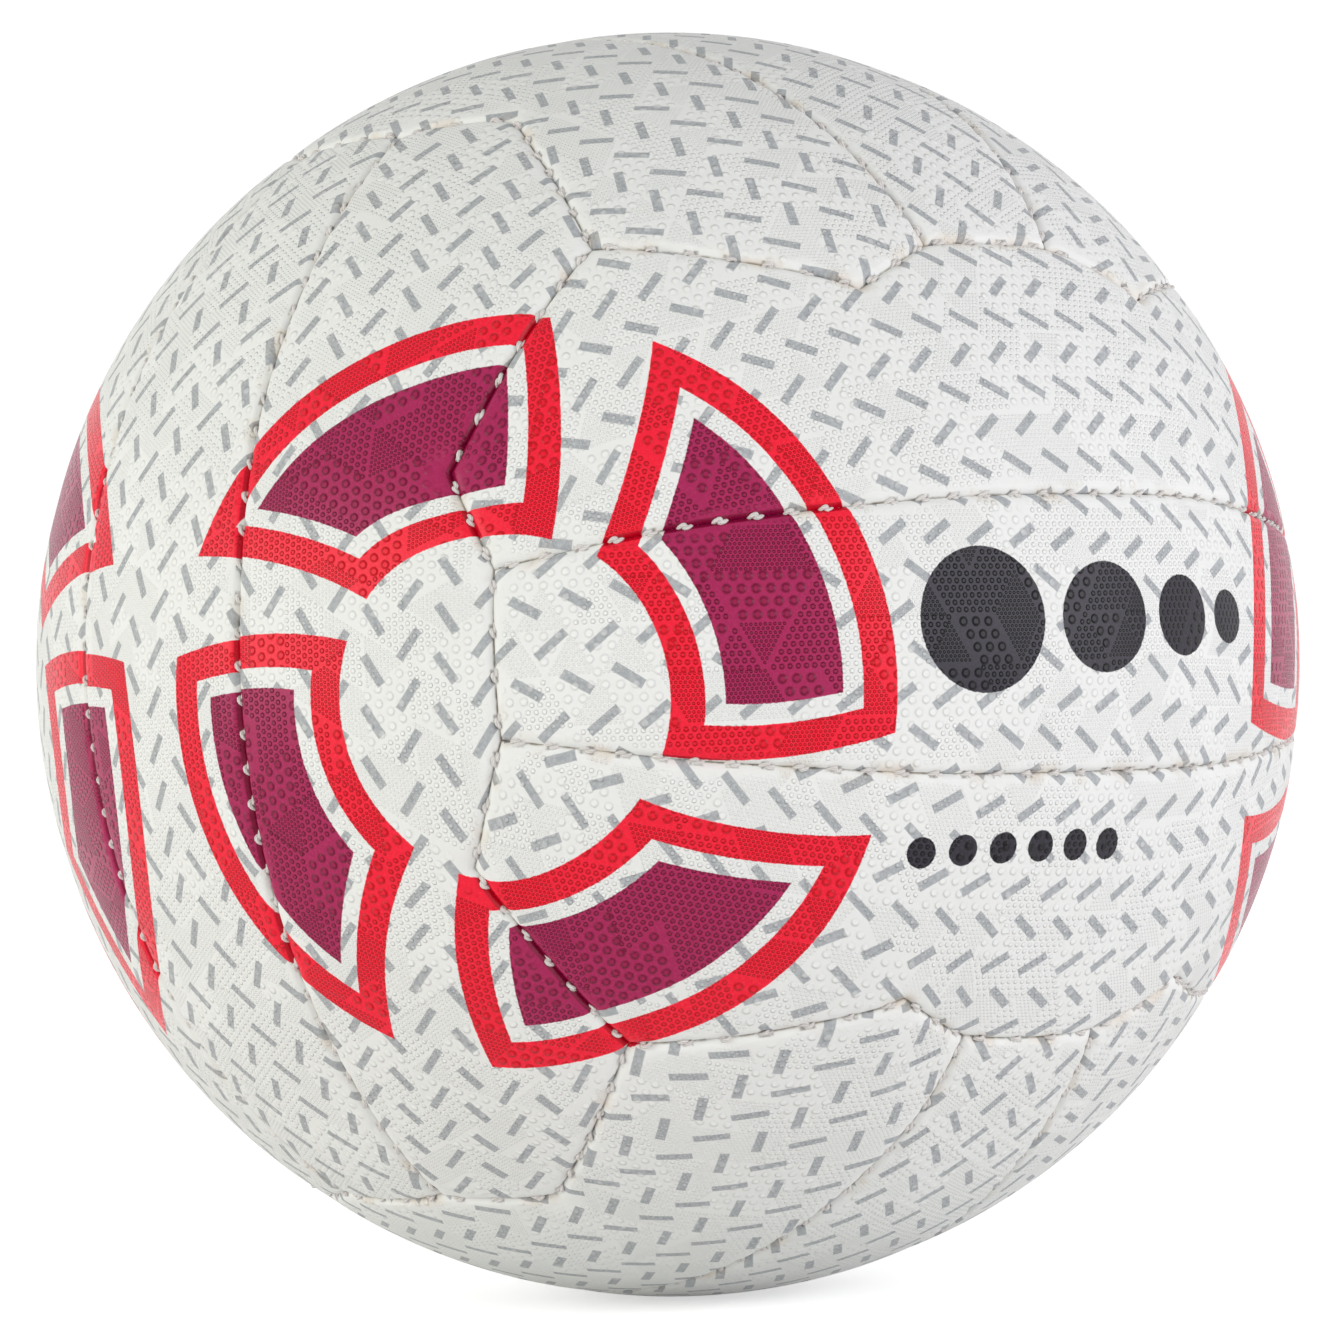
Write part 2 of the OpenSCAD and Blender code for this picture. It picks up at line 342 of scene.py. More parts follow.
def patch(outline, u, v):
    # both pairs of sides blended across, less the blend of the four corners, then set on the sphere
    bottom, top = sidePoints(outline["bottom"], u), sidePoints(outline["top"], u)
    left, right = sidePoints(outline["left"], v), sidePoints(outline["right"], v)
    a, b = u[None, :, None], v[:, None, None]
    blend = (1 - b) * bottom[None] + b * top[None] + (1 - a) * left[:, None] + a * right[:, None]
    corner = (1 - a) * (1 - b) * bottom[0] + a * (1 - b) * bottom[-1]
    corner = corner + (1 - a) * b * top[0] + a * b * top[-1]
    return unit(blend - corner)


def seamFacts(points, outline):
    # distances in metres from each point: to the nearest seam, along that seam to a stitch, and to a
    # junction
    corners = cornersOf(outline)
    seamAway, stitchAway, cornerAway = [np.full(points.shape[:-1], np.inf) for _ in range(3)]
    for a, b in zip(corners, corners[1:] + corners[:1]):
        normal = unit(np.cross(a, b))
        whole = arcAngle(a, b)
        along = np.arctan2(points @ np.cross(normal, a), points @ a)
        aside = np.abs(np.arcsin(np.clip(points @ normal, -1, 1)))
        toA, toB = np.arccos(np.clip(points @ a, -1, 1)), np.arccos(np.clip(points @ b, -1, 1))
        away = np.where((along >= 0) & (along <= whole), aside, np.minimum(toA, toB)) * ballRadius
        closer = away < seamAway
        seamAway = np.where(closer, away, seamAway)
        stitchAway = np.where(closer, fromStitch(along * ballRadius, whole * ballRadius), stitchAway)
        cornerAway = np.minimum(cornerAway, toA * ballRadius)
    return seamAway, stitchAway, cornerAway


def coverDrop(seamAway, stitchAway, cornerAway):
    # a parabola at the rounded edge, a long soft fall towards the seam, and a dimple at the junctions
    c = coverSet
    seamAway = np.maximum(seamAway - c["fromSeam"], 0)
    near = np.clip(1 - seamAway / (c["shoulder"] + c["pulledShoulder"] * stitchRise(stitchAway)), 0, 1)
    edge = c["edgeDrop"] * near ** 2
    crown = c["crown"] * np.exp(-seamAway / c["crownReach"])
    corner = c["cornerDrop"] * np.exp(-(cornerAway / c["cornerReach"]) ** 2)
    return edge + crown + corner


def rimOf(index):
    # the indices round a block of grid points, anticlockwise from its first corner
    return np.concatenate([index[0, :-1], index[:-1, -1], index[-1, :0:-1], index[:0:-1, 0]])


def gridFaces(index, leave=None):
    # quads of a grid of indices, without a block of cells if one is given
    quads = np.stack([index[:-1, :-1], index[:-1, 1:], index[1:, 1:], index[1:, :-1]], -1)
    keep = np.ones(quads.shape[:2], bool)
    if leave:
        keep[leave[0]:leave[1], leave[2]:leave[3]] = False
    return quads[keep]


def ringFaces(outer, inner):
    # a band of quads between two closed rings with the same count
    return np.stack([outer, inner, np.roll(inner, -1), np.roll(outer, -1)], -1)


def holeBlock(skin):
    # the block of grid cells round the panel's middle that the hole's rings take the place of
    middle = unit(skin[:, skin.shape[1] // 2].mean(0))
    away = np.arccos(np.clip(skin @ middle, -1, 1)) * ballRadius
    inside = away < valveSet["rings"][0] * mm * valveSet["clear"]
    rows, columns = np.where(inside.any(1))[0], np.where(inside.any(0))[0]
    return rows[0] - 1, rows[-1] + 1, columns[0] - 1, columns[-1] + 1


def holeRings(skin, square, layer):
    # directions and depths of the rings from the block's square rim to the round hole, and back below
    v = valveSet
    middle = unit(skin[:, skin.shape[1] // 2].mean(0))
    rim = skin.reshape(-1, 3)[square]
    aside = unit(rim - (rim @ middle)[:, None] * middle)
    radius = np.array(v["rings"]) * mm
    depth = np.full(len(radius), layer.get("depth", 0.0))
    if layer is coverSet:
        turn = np.clip(1 - (radius - v["hole"]) / v["bevel"], 0, 1)
        dip = v["dip"] * np.exp(-(radius - v["hole"]) / v["dipReach"])
        depth = dip + v["bevel"] * (1 - np.sqrt(1 - turn ** 2))
    back = layer.get("depth", 0.0) + layer["thickness"]
    radius = np.concatenate([radius, radius[::-1]])
    depth = np.concatenate([depth, np.full(len(depth), back)])
    angle = (radius / ballRadius)[:, None, None]
    return np.cos(angle) * middle + np.sin(angle) * aside, depth[:, None] * np.ones(len(square))


def layerShape(outline, layer, hole):
    # outer skin, folded edge and inner skin as one closed surface
    top = inset(outline, layer["fromSeam"])
    under = inset(outline, layer["fromSeam"] + layer["thickness"])
    u = gridShares(top["top"], layer["edgeRows"], layer["cell"])
    v = gridShares(top["left"], layer["edgeRows"], layer["rowCell"])
    skin, back = patch(top, u, v), patch(under, u, v)
    index = np.arange(skin.shape[0] * skin.shape[1]).reshape(skin.shape[:2])
    facts = seamFacts(skin, outline)
    skinDepth = coverDrop(*facts) if layer is coverSet else np.full(index.shape, layer["depth"])
    backDepth = np.full(index.shape, layer.get("depth", 0.0) + layer["thickness"])
    rim = rimOf(index)
    directions = [skin.reshape(-1, 3), back.reshape(-1, 3)]
    depths = [skinDepth.ravel(), backDepth.ravel()]
    sources = [index.ravel(), index.ravel()]
    start, chain = 2 * index.size, [rim]
    for side, depth in [*((0, d) for d in foldRows), *((1, d) for d in foldRows[::-1])]:
        directions.append(directions[side][rim])
        depths.append(np.full(len(rim), depth))
        sources.append(rim)
        chain.append(start + np.arange(len(rim)))
        start += len(rim)
    chain.append(rim + index.size)
    faces = [ringFaces(a, b) for a, b in zip(chain, chain[1:])]
    block = holeBlock(skin) if hole else None
    faces += [gridFaces(index, block), gridFaces(index + index.size, block)[:, ::-1]]
    if hole:
        square = rimOf(index[block[0]:block[1] + 1, block[2]:block[3] + 1])
        ringDirections, ringDepths = holeRings(skin, square, layer)
        rings = start + np.arange(ringDepths.size).reshape(ringDepths.shape)
        chain = [square, *rings, square + index.size]
        faces += [ringFaces(a, b)[:, ::-1] for a, b in zip(chain, chain[1:])]
        directions.append(ringDirections.reshape(-1, 3))
        depths.append(ringDepths.ravel())
        sources.append(np.broadcast_to(square, ringDepths.shape).ravel())
    sources = np.concatenate(sources)
    facts = [fact.ravel()[sources] for fact in facts]
    # the folded edge counts as lying in the seam, so the painted crease shade reaches it
    facts[0][2 * index.size:start] = 0
    return np.concatenate(directions), np.concatenate(depths), faces, facts


def makeMesh(name, places, faces):
    # faces is a list of arrays of indices, each with one count of corners
    corners = np.concatenate([part.ravel() for part in faces]).astype(np.int32)
    sizes = np.concatenate([np.full(len(part), part.shape[1]) for part in faces])
    mesh = bpy.data.meshes.new(name)
    mesh.vertices.add(len(places))
    mesh.vertices.foreach_set("co", places.astype(np.float32).ravel())
    mesh.loops.add(len(corners))
    mesh.loops.foreach_set("vertex_index", corners)
    mesh.polygons.add(len(sizes))
    mesh.polygons.foreach_set("loop_start", (np.cumsum(sizes) - sizes).astype(np.int32))
    mesh.update(calc_edges=True)
    mesh.validate()
    mesh.shade_smooth()
    piece = bpy.data.objects.new(name, mesh)
    bpy.context.scene.collection.objects.link(piece)
    return piece


def setAttribute(mesh, name, values):
    kind, field = ("FLOAT_VECTOR", "vector") if values.ndim == 2 else ("FLOAT", "value")
    attribute = mesh.attributes.new(name, kind, "POINT")
    attribute.data.foreach_set(field, values.astype(np.float32).ravel())


def setMap(mesh, flat):
    # a map in metres on the piece's own surface
    layer = mesh.uv_layers.new(name="ownMap")
    corner = np.empty(len(mesh.loops), np.int32)
    mesh.loops.foreach_get("vertex_index", corner)
    layer.data.foreach_set("uv", flat[corner].astype(np.float32).ravel())


def panelMap(kind, directions):
    # along the panel as an angle round its long way, across it as an angle from its middle line
    middle = direction(0, seamSet["sideMiddle"] if kind == "side" else 0)
    along = np.array([1.0, 0, 0])
    s = np.arctan2(directions @ along, directions @ middle)
    t = np.arcsin(np.clip(directions @ np.cross(along, -middle), -1, 1))
    return np.stack([s, t], -1) * ballRadius


cuttingSet = dict(
    sheetShift=(3.7 * mm, 5.3 * mm),  # from one panel's place on the printed sheet to the next one's
    slip=0.5 * mm,                    # how far the big print is off on a panel
    slipSeed=40,
)


def makeLayer(kind, name, thirds, half, number, layer):
    isCover = layer is coverSet
    directions, depths, faces, facts = layerShape(outlines[kind], layer, name == valvePanel)
    cut = turned(directions, thirds, half)
    places = sewn(cut) * (ballRadius - depths)[:, None]
    piece = makeMesh(name + ("_panel" if isCover else "_backing"), places, faces)
    setMap(piece.data, panelMap(kind, directions) + np.array(cuttingSet["sheetShift"]) * number)
    if isCover:
        # the print was on the sheet before it was cut and sewn, so it meets its neighbours a little off
        random = np.random.default_rng(cuttingSet["slipSeed"] + number)
        slip = random.normal(0, cuttingSet["slip"], 3) / ballRadius
        setAttribute(piece.data, "printPlace", (cut + np.cross(cut, slip)) * ballRadius)
        for label, fact in zip(("seamAway", "stitchAway", "cornerAway"), facts):
            setAttribute(piece.data, label, fact / mm)
    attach(piece, "ball")
    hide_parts(name + ("_cover" if isCover else "_lining"))
    return piece


panelPlaces = [("side", *place) for place in sidePlaces] + [("middle", *place) for place in middlePlaces]
covers = [makeLayer(*place, number, coverSet) for number, place in enumerate(panelPlaces)]
linings = [makeLayer(*place, number, liningSet) for number, place in enumerate(panelPlaces)]
print(f"covers and linings made: {sum(len(p.data.polygons) for p in covers + linings)} faces")


def strand(a, b, thirds, half, phase):
    # rings of a tube along the seam: it rises at each stitch, dives between, and winds round the other
    # strand
    t = stitchSet
    length = arcAngle(a, b) * ballRadius
    steps = max(t["leastSteps"], round((length - 2 * t["endGap"]) / t["step"]))
    along = np.linspace(t["endGap"], length - t["endGap"], steps + 1)
    outwards = sewn(turned(alongArc(a, b, along / length), thirds, half))
    # some stitches were pulled tighter than others: two slow waves along the seam
    byPlace, byHeight = t["waveStarts"]
    slow, quick = [np.sin(along / wave + thirds * byPlace + a[2] * byHeight) for wave in t["waves"]]
    risen = t["risen"] + t["tighter"] * (0.5 + 0.25 * (slow + quick))
    depth = t["sunk"] + (risen - t["sunk"]) * stitchRise(fromStitch(along, length))
    middle = outwards * (ballRadius - depth)[:, None]
    ahead = unit(np.gradient(middle, axis=0))
    side = unit(np.cross(ahead, outwards))
    up = np.cross(side, ahead)
    wind = (phase + 2 * np.pi * along / t["twist"])[:, None]
    middle = middle + t["apart"] * (np.cos(wind) * side + np.sin(wind) * up)
    turn = (2 * np.pi * np.arange(t["sides"]) / t["sides"])[None, :, None]
    ring = np.cos(turn) * side[:, None] + np.sin(turn) * up[:, None]
    return middle[:, None] + ring * t["strand"], along


def makeThread(name, thirds, half, seams):
    sides = stitchSet["sides"]
    around = 2 * np.pi * stitchSet["strand"] * np.arange(sides) / sides
    places, faces, flat, start = [], [], [], 0
    for a, b in seams:
        for phase in (0, math.pi):
            rings, along = strand(a, b, thirds, half, phase)
            index = start + np.arange(len(rings) * sides).reshape(-1, sides)
            faces += [ringFaces(one, other) for one, other in zip(index, index[1:])]
            faces += [index[:1], index[-1:, ::-1]]
            places.append(rings.reshape(-1, 3))
            flat.append(np.stack(np.meshgrid(along, around, indexing="ij"), -1).reshape(-1, 2))
            start += index.size
    piece = makeMesh(name + "_stitches", np.concatenate(places), faces)
    setMap(piece.data, np.concatenate(flat))
    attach(piece, "ball")
    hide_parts(name + "_thread")
    return piece


threads = [makeThread(*place, edgeSeams) for place in edgePlaces]
threads += [makeThread(*place, innerSeams) for place in innerPlaces]
print(f"stitches made: {sum(len(t.data.polygons) for t in threads)} faces")


def linear(red, green, blue):
    # a screen colour of 0 to 255 as the light it stands for
    share = np.array([red, green, blue]) / 255
    light = np.where(share <= 0.04045, share / 12.92, ((share + 0.055) / 1.055) ** 2.4)
    return (*[float(x) for x in light], 1.0)


class Wire:
    # one output of a node; sums, products and comparisons add their Math nodes
    def __init__(self, nodes, socket):
        self.nodes, self.socket = nodes, socket

    def math(self, operation, *others):
        return self.nodes.add("ShaderNodeMath", dict(operation=operation), (self, *others))

    def __add__(self, other):
        return self.math("ADD", other)

    def __sub__(self, other):
        return self.math("SUBTRACT", other)

    def __mul__(self, other):
        return self.math("MULTIPLY", other)

    def __truediv__(self, other):
        return self.math("DIVIDE", other)

    def __rsub__(self, other):
        return self.nodes.add("ShaderNodeMath", dict(operation="SUBTRACT"), (other, self))

    def __abs__(self):
        return self.math("ABSOLUTE")

    def __gt__(self, other):
        return self.math("GREATER_THAN", other)

    __radd__, __rmul__ = __add__, __mul__

    def part(self):
        return self.math("FRACT")

    def whole(self):
        return self.math("FLOOR")

    def least(self, other):
        return self.math("MINIMUM", other)

    def most(self, other):
        return self.math("MAXIMUM", other)

    def ramp(self, start, end, low=0.0, high=1.0):
        # from low to high with a soft step, as this goes from start to end
        return self.nodes.add(
            "ShaderNodeMapRange", dict(interpolation_type="SMOOTHSTEP"),
            {"Value": self, "From Min": start, "From Max": end, "To Min": low, "To Max": high})


class Nodes:
    # the nodes of one material or of the world, and its shader
    def __init__(self, owner, shader="Principled BSDF"):
        owner.use_nodes = True
        self.owner, self.tree = owner, owner.node_tree
        self.shader = self.tree.nodes[shader]

    def add(self, kind, settings, sockets, output=0):
        node = self.tree.nodes.new(kind)
        for name, value in settings.items():
            setattr(node, name, value)
        for name, value in sockets.items() if isinstance(sockets, dict) else enumerate(sockets):
            self.put(node.inputs[name], value)
        return Wire(self, node.outputs[output])

    def put(self, socket, value):
        if isinstance(value, Wire):
            self.tree.links.new(value.socket, socket)
        else:
            socket.default_value = value

    def set(self, **values):
        for name, value in values.items():
            self.put(self.shader.inputs[name.replace("_", " ")], value)

    def mix(self, share, a, b, blend="MIX"):
        # the node's sockets 6 and 7 are its two colours, and its output 2 is the mixed one
        settings = dict(data_type="RGBA", blend_type=blend)
        return self.add("ShaderNodeMix", settings, {0: share, 6: a, 7: b}, 2)

    def noise(self, at, scale, detail, rough):
        sockets = {"Vector": at, "Scale": scale, "Detail": detail, "Roughness": rough}
        return self.add("ShaderNodeTexNoise", {}, sockets)

    def ownMap(self):
        return self.add("ShaderNodeUVMap", dict(uv_map="ownMap"), {})

    def coordinates(self, output):
        return self.add("ShaderNodeTexCoord", {}, {}, output)

    def attribute(self, name, output):
        return self.add("ShaderNodeAttribute", dict(attribute_name=name), {}, output)

    def split(self, vector):
        first = self.add("ShaderNodeSeparateXYZ", {}, [vector])
        return [Wire(self, output) for output in first.socket.node.outputs]

    def join(self, x, y, z=0.0):
        return self.add("ShaderNodeCombineXYZ", {}, [x, y, z])

    def scale(self, vector, factor):
        return self.add("ShaderNodeVectorMath", dict(operation="SCALE"), {0: vector, "Scale": factor})

    def measure(self, operation, vector, fixed):
        sockets = [vector, tuple(fixed)]
        return self.add("ShaderNodeVectorMath", dict(operation=operation), sockets, "Value")

    def dot(self, vector, fixed):
        return self.measure("DOT_PRODUCT", vector, fixed)

    def distance(self, vector, fixed):
        return self.measure("DISTANCE", vector, fixed)

    def bump(self, height):
        # height is in metres
        return self.add("ShaderNodeBump", {}, {"Strength": 1.0, "Distance": 1.0, "Height": height})


# The skin's settings are in mm. A pair of numbers is where something starts to show, and where it shows
# fully
gripSet = dict(
    patchSide=8.6,                 # side of one triangle of the grip pattern
    patchShift=0.43,               # keeps the triangles' borders off the rows of pimples
    pitches=(2.3, 1.3, 0.75),      # from pimple to pimple
    limits=(0.34, 0.74),           # shares of the triangles up to each size
    rimShadeWeights=(0.85, 1.0, 2.0),   # how much painted shade the skin gets round each size
    heights=(0.085, 0.15, 0.14),   # shares of the pitch
    paintedLightOnTops=(0.5, 1.0, 1.0),     # how much painted light the tops of each size get where there is no ink
    foot=0.36, flat=0.17,          # radius of a pimple's foot and of its flat top, shares of the pitch
    blur=0.06,                     # how soft the line round a pimple is, share of the pitch
    bySeam=(0.4, 2.4),             # the pimples by their distance to a seam
    byCorner=(1.5, 6.0),           # and to a junction
    wander=7.0,                    # how far the border of the pimples wanders
    shine=0.18,                    # specular level
    roughness=0.6, inkSmoother=0.33, roughnessSpeckle=0.1,
    grain=0.012,                   # height of the fine grain
)
# Scale, detail and roughness of each noise on the skin
skinNoises = dict(
    fine=(1.6, 3.0, 0.6),
    broad=(0.035, 3.0, 0.55),
    worn=(0.16, 2.0, 0.5),
    broken=(0.4, 2.0, 0.6),
    oneSided=(0.9, 1.0, 0.5),
    grain=(7.0, 2.0, 0.5),
)
printSet = dict(
    ground=linear(229, 230, 227), pimpleTop=linear(246, 247, 245), grey=linear(163, 167, 171),
    # each ink has a tone in painted shade, Deep, and a tone with painted sheen, Light
    redDeep=linear(216, 0, 26), redLight=linear(253, 38, 65),
    purpleDeep=linear(126, 0, 54), purpleLight=linear(179, 44, 97),
    blackDeep=linear(3, 2, 5), blackLight=linear(62, 58, 68),
    soft=0.09,                     # half width of an ink's edge
    ragged=0.32,                   # how far its edge wanders
    # how white the skin is everywhere, what painted light the pimples' tops add and how much broad clouds
    # change
    whiteEverywhere=0.42, topPaintedLightShare=0.4, whiteClouds=0.5,
    # how well the grey covers, how much it is speckled and what it loses on the tops
    greyCover=0.86, greySpeckle=0.9, greyOffTops=0.22,
    # an ink's painted sheen makes it palest on the ground and less pale on the pimples' tops, and painted
    # shade makes it deepest round them
    sheenOnGround=0.76, lessSheenOnTops=0.26, shadeRoundPimples=0.58, inkSpeckle=0.4,
    # painted shade round each pimple, mixed towards black, more on ink
    rimShade=0.03, rimShadeOnInk=0.12,
)
# stains are the skin's own colour; the crease colours and the stitch-side colour are painted shade
stainAndShadeSet = dict(
    stain=linear(226, 196, 160), creaseShadeOnWhite=linear(188, 180, 170), creaseShadeOnInk=linear(200, 110, 170),
    needle=linear(88, 72, 62),
    stainBySeam=(2.6, 0.2), stainByNoise=(0.5, 0.68), stainShare=0.32,
    creaseBySeam=(0.3, 0.05), creaseByNoise=(0.38, 0.64),
    creaseLeast=0.1,               # what shows of the painted crease shade everywhere
    creaseWider=0.5,               # how much further it reaches on ink
    pullByStitch=(1.4, 0.8), pullBySeam=(0.82, 0.5), pullByNoise=(0.4, 0.62),
    pullShare=0.6, pullLessOnInk=0.3,
)
# Sizes in mm, slant in degrees, and how a row bends per mm
dashSet = dict(length=5.6, width=1.5, pitch=7.8, rowPitch=6.4, slant=36, rowBend=0.0011)
ringSet = dict(
    turn=36.2, rise=-4.0,          # the ring's middle, degrees from the face's middle and up
    radius=45.0, half=18.0,        # middle line of its band and half the band's width
    red=5.4, white=3.2,            # widths of outline and inline
    arcs=4,
    first=22.0, arcHalf=37.0,      # where an arc's middle lies and half its length, degrees
    slant=16.0,                    # of the ends of the arcs, degrees
)
# Each dot: how far along and up its middle lies, and its radius
dotSet = dict(
    large=[(-25.5, 2, 11.5), (-1.5, 2, 9.0), (17.5, 2, 6.6), (31.5, 2, 4.4)],
    small=[(-36 + 7.6 * k, -35, 2.6) for k in range(6)],
)


def pimpleLattice(f, s, t, pitch, low, high):
    # the distance to the nearest point of a staggered lattice, in pitches, and whether the triangle that
    # this point lies in holds this size of pimple
    side, shift = gripSet["patchSide"], gripSet["patchShift"]
    x, y = s / pitch, t / pitch / math.sqrt(3)
    ax, ay = (x + 0.5).part() - 0.5, ((y + 0.5).part() - 0.5) * math.sqrt(3)
    bx, by = x.part() - 0.5, (y.part() - 0.5) * math.sqrt(3)
    a, b = ax * ax + ay * ay, bx * bx + by * by
    useB = a > b
    row = (t + shift - (ay + (by - ay) * useB) * pitch) / (side * math.sqrt(3) / 2)
    column = (s + shift - (ax + (bx - ax) * useB) * pitch) / side - row * 0.5
    upper = (column.part() + row.part()) > 1.0
    seed = f.join(column.whole() + 0.5, row.whole() + 0.5, upper)
    pick = f.add("ShaderNodeTexWhiteNoise", dict(noise_dimensions="3D"), {"Vector": seed})
    return a.least(b).math("SQRT"), (pick > low) - (pick > high)


def gripPattern(f, s, t):
    # triangles tile the skin, each with one of three sizes of pimple; where two sizes meet, the higher
    # one counts
    g = gripSet
    foot, flat, blur = g["foot"], g["flat"], g["blur"]
    limits = [-1.0, *g["limits"], 2.0]  # every random number lies between the first and the last
    sizes = []
    for k, pitch in enumerate(g["pitches"]):
        away, chosen = pimpleLattice(f, s, t, pitch, limits[k], limits[k + 1])
        top = away.ramp(foot, flat) * chosen
        # the sloping side of a pimple, from its flat top to its foot, where painted shade goes
        line = away.ramp(foot + blur, foot - blur) * away.ramp(flat - blur, flat + blur)
        rim, rise = line * chosen * g["rimShadeWeights"][k], top * (pitch * g["heights"][k])
        # per size: its top, the painted light on that top, the painted shade round it, and its height
        sizes.append([top, top * g["paintedLightOnTops"][k], rim, rise])
    return [a.most(b).most(c) for a, b, c in zip(*sizes)]


def dashPattern(f, s, t, rough):
    # a herringbone of short dashes: rows bend a little, and every other row slants the other way
    d = dashSet
    row = (t + s * s * d["rowBend"]) / d["rowPitch"]
    odd = (row.whole() * 0.5).part() * 2.0
    x = ((s / d["pitch"] + odd * 0.5).part() - 0.5) * d["pitch"]
    y = (row.part() - 0.5) * d["rowPitch"] * (1.0 - odd * 2.0)
    slant = math.radians(d["slant"])
    along = abs(x * math.cos(slant) + y * math.sin(slant)) - d["length"] / 2
    aside = abs(y * math.cos(slant) - x * math.sin(slant)) - d["width"] / 2
    return (along.most(aside) + rough).ramp(printSet["soft"], -printSet["soft"])


def ringPattern(f, place, rough):
    # arcs of a broad ring on each upright edge of the ball's cube; the result is how far inside the
    # outline a point is: the least of its distance to the band's two sides and to the slanted ends of
    # its arc
    r = ringSet
    x, y, z = f.split(place)
    folded = f.join(abs(x), abs(y), z)
    middle = direction(-90 - r["turn"], r["rise"])
    right = unit(np.array([-middle[1], middle[0], 0]))
    away = (f.dot(folded, middle) / ballMm).math("ARCCOSINE") * ballMm
    angle = f.dot(folded, np.cross(middle, right)).math("ARCTAN2", f.dot(folded, right))
    slant = math.radians(r["slant"])
    twist = (away - r["radius"]) * (math.tan(slant) / r["radius"])
    half = math.pi / r["arcs"]
    fromArc = abs((angle - twist - math.radians(r["first"])).math("WRAP", half, -half))
    acrossBand = r["half"] - abs(away - r["radius"])
    toEnd = away * (math.radians(r["arcHalf"]) - fromArc).math("SINE") * math.cos(slant)
    return acrossBand.least(toEnd) + rough


def dotPattern(f, place, dots, rough):
    # discs on the front and back faces, placed by distances on the ball from the face's middle
    x, y, z = f.split(place)
    side = 1.0 - (y > 0.0) * 2.0
    along = (x * side).math("ARCTAN2", abs(y)) * ballMm
    flat = f.join(along, (z / ballMm).math("ARCSINE") * ballMm)
    inside = None
    for right, up, radius in dots:
        depth = radius - f.distance(flat, (right, up, 0))
        inside = depth if inside is None else inside.most(depth)
    return inside + rough


def makeGripFinish():
    f = Nodes(bpy.data.materials.new("gripRubber"))
    g, p, w = gripSet, printSet, stainAndShadeSet
    s, t = [along * (1 / mm) for along in f.split(f.ownMap())[:2]]
    place = f.scale(f.attribute("printPlace", "Vector"), 1 / mm)
    seam, stitch, corner = [f.attribute(name, "Fac") for name in ("seamAway", "stitchAway", "cornerAway")]
    noise = {name: f.noise(place, *shape) for name, shape in skinNoises.items()}
    speckle = noise["fine"] - 0.5
    rough = speckle * p["ragged"]
    wander = (noise["worn"] - 0.5) * g["wander"]
    grip = (seam + wander).ramp(*g["bySeam"]) * (corner + wander).ramp(*g["byCorner"])
    # the pimples' tops, the painted light on them, the painted shade round them, and their height
    top, topPaintedLight, rim, rise = [wire * grip for wire in gripPattern(f, s, t)]
    ring = ringPattern(f, place, rough)
    dots = dotPattern(f, place, dotSet["large"] + dotSet["small"], rough)

    def deeper(depth, than):
        return depth.ramp(than - p["soft"], than + p["soft"])

    red, white, black = deeper(ring, 0), deeper(ring, ringSet["red"]), deeper(dots, 0)
    purple = deeper(ring, ringSet["red"] + ringSet["white"])
    ink = (red - white + purple).most(black)
    clouds = (noise["broad"] - 0.5) * p["whiteClouds"]
    # white skin: a base white with broad clouds, and painted light on the pimples' tops over the ground
    # between them
    whiteness = topPaintedLight * p["topPaintedLightShare"] + p["whiteEverywhere"] + clouds
    colour = f.mix(whiteness, p["ground"], p["pimpleTop"])
    cover = p["greyCover"] + speckle * p["greySpeckle"] - top * p["greyOffTops"]
    colour = f.mix(dashPattern(f, s, t, rough) * cover, colour, p["grey"])
    # painted sheen on an ink's flat ground, less of it on the pimples' tops, painted shade round them,
    # and the ink's own speckle; each ink then mixes between its painted-shade tone and its painted-sheen
    # tone
    sheenShadeAndSpeckle = p["sheenOnGround"] - top * p["lessSheenOnTops"] - rim * p["shadeRoundPimples"] + speckle * p["inkSpeckle"]
    for share, tone in ((red - white, "red"), (purple, "purple"), (black, "black")):
        colour = f.mix(share, colour, f.mix(sheenShadeAndSpeckle, p[tone + "Deep"], p[tone + "Light"]))
    # painted shade round each pimple, mixed towards black, more on ink
    colour = f.mix(rim * (p["rimShade"] + ink * p["rimShadeOnInk"]), colour, (0, 0, 0, 1))
    stained = seam.ramp(*w["stainBySeam"]) * noise["worn"].ramp(*w["stainByNoise"]) * (1.0 - ink)
    colour = f.mix(stained * w["stainShare"], colour, w["stain"], "MULTIPLY")
    # painted shade in the crease along each seam, broken up on white and reaching further on ink
    broken = w["creaseLeast"] + noise["broken"].ramp(*w["creaseByNoise"]) * (1 - w["creaseLeast"])
    creaseShade = (seam - ink * w["creaseWider"]).ramp(*w["creaseBySeam"]) * broken.most(ink)
    colour = f.mix(creaseShade, colour, f.mix(ink, w["creaseShadeOnWhite"], w["creaseShadeOnInk"]), "MULTIPLY")
    # painted shade beside each stitch, where it pulls the skin down at its sides, more on one side than
    # on the other
    pulledShade = stitch.ramp(*w["pullByStitch"]) * seam.ramp(*w["pullBySeam"])
    pulledShade = pulledShade * noise["oneSided"].ramp(*w["pullByNoise"])
    colour = f.mix(pulledShade * (w["pullShare"] - ink * w["pullLessOnInk"]), colour, w["needle"])
    height = (rise + noise["grain"] * g["grain"]) * mm
    roughness = g["roughness"] - ink * g["inkSmoother"] + speckle * g["roughnessSpeckle"]
    f.set(Base_Color=colour, Roughness=roughness, Normal=f.bump(height))
    f.set(Specular_IOR_Level=g["shine"])
    return f.owner


